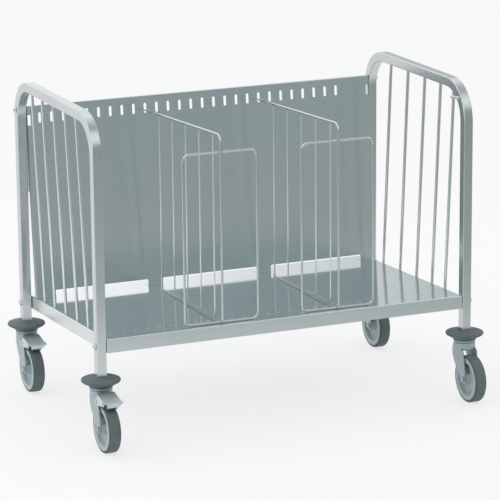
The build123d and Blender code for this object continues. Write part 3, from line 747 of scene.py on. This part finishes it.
class TROLLEY_OT_stage(bpy.types.Operator):
    """Make the floor, the light and the camera"""

    bl_idname = "trolley.stage"
    bl_label = "Stage"

    def execute(self, context):
        look = context.scene.trolley_stage
        self.floor(context, look)
        self.dome(context, look)
        self.lamp(context, look)
        self.camera(context, look)
        context.scene.view_settings.view_transform = "Standard"
        return {"FINISHED"}

    def floor(self, context, look):
        """A wide pale floor whose colour is painted darker beyond the light, in front and to the right, as
        painted shade.
        """
        half = look.floor_half
        corners = [(-half, -half, 0.0), (half, -half, 0.0), (half, half, 0.0), (-half, half, 0.0)]
        mesh = bpy.data.meshes.new("floor")
        mesh.from_pydata(corners, [], [(0, 1, 2, 3)])
        floor = bpy.data.objects.new("floor", mesh)
        context.scene.collection.objects.link(floor)
        made = Finish("floor paper")
        place = made.place()
        front = made.along(place, heading(look.front_turn))
        edge = made.spread(front, 0.0, 1.0, *look.front_ramp, smooth=True)
        lit = made.mix(edge, look.floor_colour, look.floor_edge_shade_colour)
        near = made.along(place, heading(look.near_turn))
        near = made.spread(near, 0.0, 1.0, *look.near_ramp, smooth=True)
        right = made.along(place, heading(look.right_turn))
        right = made.spread(right, 0.0, 1.0, *look.right_ramp, smooth=True)
        far = made.spread(front, 0.0, 1.0, *look.far_ramp)
        far = made.sum("MAXIMUM", far, made.sum("MAXIMUM", near, right))
        # The floor's colour is painted darker where the light falls off, as painted shade
        colour = made.mix(far, lit, look.floor_far_shade_colour)
        made.set(Base_Color=colour, Roughness=1.0, Specular_IOR_Level=0.0)
        self.glow(made, colour, look.floor_glow)
        mesh.materials.append(made.material)

    def glow(self, made, colour, share):
        """Let the floor keep part of its own paleness where it is seen, straight or in a reflection."""
        path = made.node("ShaderNodeLightPath").outputs
        seen = made.sum("MAXIMUM", path["Is Camera Ray"], path["Is Glossy Ray"])
        seen = made.sum("MAXIMUM", seen, path["Is Transmission Ray"])
        paper = made.node("ShaderNodeEmission", Color=colour, Strength=1.0)
        mixed = made.node("ShaderNodeMixShader", Fac=made.sum("MULTIPLY", seen, share))
        made.feed(mixed.inputs[1], made.surface.outputs["BSDF"])
        made.feed(mixed.inputs[2], paper.outputs["Emission"])
        made.feed(made.tree.nodes["Material Output"].inputs["Surface"], mixed.outputs["Shader"])

    def dome(self, context, look):
        """Soft light from walls that are unlit low on the right and behind the camera, under an open top."""
        world = bpy.data.worlds.new("studio dome")
        world.use_nodes = True
        made = Nodes(world.node_tree)
        direction = made.place("Generated")
        climb = made.axis(direction, "Z")
        low = made.spread(climb, 1.0, 0.0, *look.wall_top_ramp, smooth=True)
        right = made.along(direction, heading(look.dim_wall_turn))
        right = made.spread(right, 0.0, 1.0, *look.dim_wall_ramp, smooth=True)
        behind = made.along(direction, heading(look.near_turn))
        behind = made.spread(behind, 0.0, 1.0, *look.behind_ramp, smooth=True)
        share = made.sum("MULTIPLY", made.sum("MAXIMUM", right, behind), low)
        walls = made.mix(share, look.dome_colour, look.dome_dim_colour)
        ceiling = made.spread(climb, 0.0, 1.0, *look.ceiling_ramp, smooth=True)
        background = world.node_tree.nodes["Background"]
        made.feed(background.inputs["Color"], made.mix(ceiling, walls, look.dome_top_colour))
        background.inputs["Strength"].default_value = look.dome_strength
        context.scene.world = world

    def lamp(self, context, look):
        """One overhead soft box, a little behind and to the left."""
        data = bpy.data.lights.new("overhead soft box", "AREA")
        data.shape = "SQUARE"
        data.size = look.lamp_size
        data.energy = look.lamp_power
        lamp = bpy.data.objects.new("overhead soft box", data)
        lamp.location = look.lamp_place
        aim = Vector(look.lamp_aim) - Vector(look.lamp_place)
        lamp.rotation_euler = aim.to_track_quat("-Z", "Y").to_euler()
        context.scene.collection.objects.link(lamp)

    def camera(self, context, look):
        """The camera at the photograph's angle."""
        yaw, drop, roll = look.camera_yaw, look.camera_drop, look.camera_roll
        forward = Vector((sin(yaw) * cos(drop), cos(yaw) * cos(drop), -sin(drop)))
        level = Vector(heading(yaw))
        above = level.cross(forward)
        right = cos(roll) * level + sin(roll) * above
        up = -sin(roll) * level + cos(roll) * above
        data = bpy.data.cameras.new("camera")
        data.lens = look.camera_lens
        data.shift_x = look.camera_shift
        camera = bpy.data.objects.new("camera", data)
        turn = Matrix((right, up, -forward)).transposed().to_4x4()
        camera.matrix_world = Matrix.Translation(Vector(look.camera_place)) @ turn
        context.scene.collection.objects.link(camera)
        context.scene.camera = camera


class TROLLEY_PT_dressing(bpy.types.Panel):
    """Lists the trolley's dressing steps"""

    bl_idname = "TROLLEY_PT_dressing"
    bl_label = "Plate trolley"
    bl_space_type = "VIEW_3D"
    bl_region_type = "UI"
    bl_category = "Trolley"

    def draw(self, context):
        for operator in OPERATORS:
            self.layout.operator(operator.bl_idname)
        for name, group in GROUPS.items():
            box = self.layout.box()
            box.label(text=group.__doc__)
            for key in group.__annotations__:
                box.prop(getattr(context.scene, name), key)


OPERATORS = (
    TROLLEY_OT_end_frames, TROLLEY_OT_wires, TROLLEY_OT_shelf, TROLLEY_OT_back_panel, TROLLEY_OT_fasteners,
    TROLLEY_OT_castor_steel, TROLLEY_OT_bumpers, TROLLEY_OT_wheels, TROLLEY_OT_brake_shoes, TROLLEY_OT_welds,
    TROLLEY_OT_stage,
)


def register():
    """Register the groups, operators and panel."""
    for kind in (*GROUPS.values(), *OPERATORS, TROLLEY_PT_dressing):
        bpy.utils.register_class(kind)
    for name, group in GROUPS.items():
        setattr(bpy.types.Scene, name, PointerProperty(type=group))


def unregister():
    """Take the groups, operators and panel out again."""
    for name in GROUPS:
        delattr(bpy.types.Scene, name)
    for kind in reversed((*GROUPS.values(), *OPERATORS, TROLLEY_PT_dressing)):
        bpy.utils.unregister_class(kind)


def main():
    """Dress the trolley, step by step."""
    register()
    for operator in OPERATORS:
        group, name = operator.bl_idname.split(".")
        getattr(getattr(bpy.ops, group), name)()


if __name__ == "__main__":
    main()
